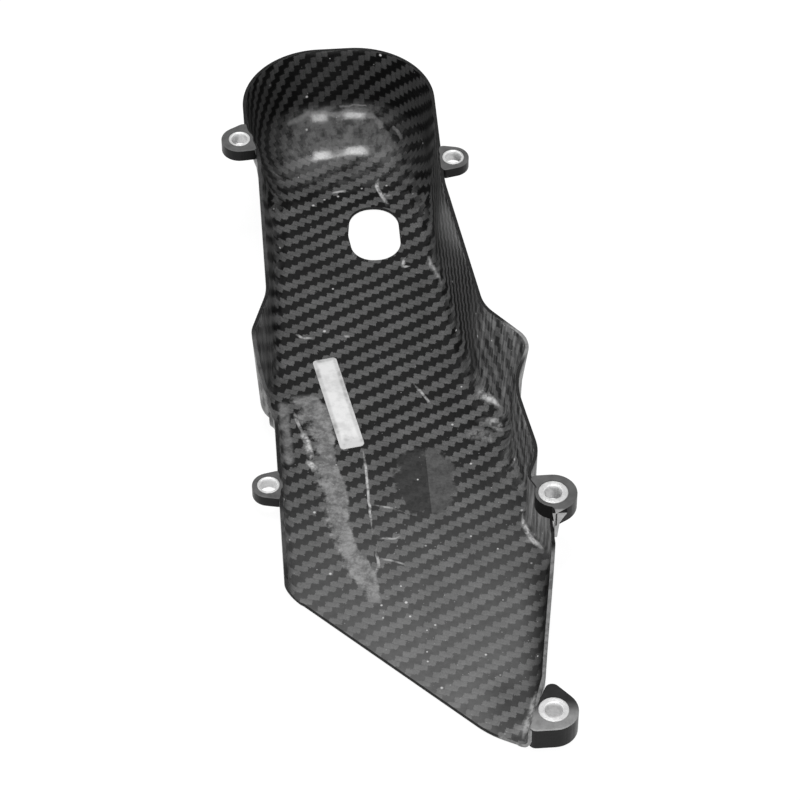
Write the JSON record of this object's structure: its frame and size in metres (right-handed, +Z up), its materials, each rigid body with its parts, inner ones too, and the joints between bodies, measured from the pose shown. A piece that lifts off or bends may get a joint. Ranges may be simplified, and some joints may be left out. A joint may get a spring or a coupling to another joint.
{
  "type": "motorbike belt cover",
  "caption": "Open carbon shell that covers a motorbike engine's timing belt, with a round end, side lobes, screw ears with metal sleeves and an oval inspection hole.",
  "frame": {"origin": "middle of the bottom of the bounding box, on the flat outer face the cover lies on", "axes": "+Z up, out of the hollow and towards the engine; +Y along the cover towards its round end"},
  "size_m": [0.099, 0.2634, 0.0372],
  "materials": {
    "carbon_laminate": "black carbon twill in clear resin, worn gloss with hazy smears",
    "sleeve_metal": "turned aluminium, lightly worn",
    "label_paper": "matt white, bare"
  },
  "bodies": {
    "root": {"cover_shell": "carbon_laminate", "upper_left_sleeve": "sleeve_metal", "upper_right_sleeve": "sleeve_metal", "mid_left_sleeve": "sleeve_metal", "mid_right_sleeve": "sleeve_metal", "lower_right_sleeve": "sleeve_metal", "blank_label": "label_paper"}
  },
  "joints": []
}
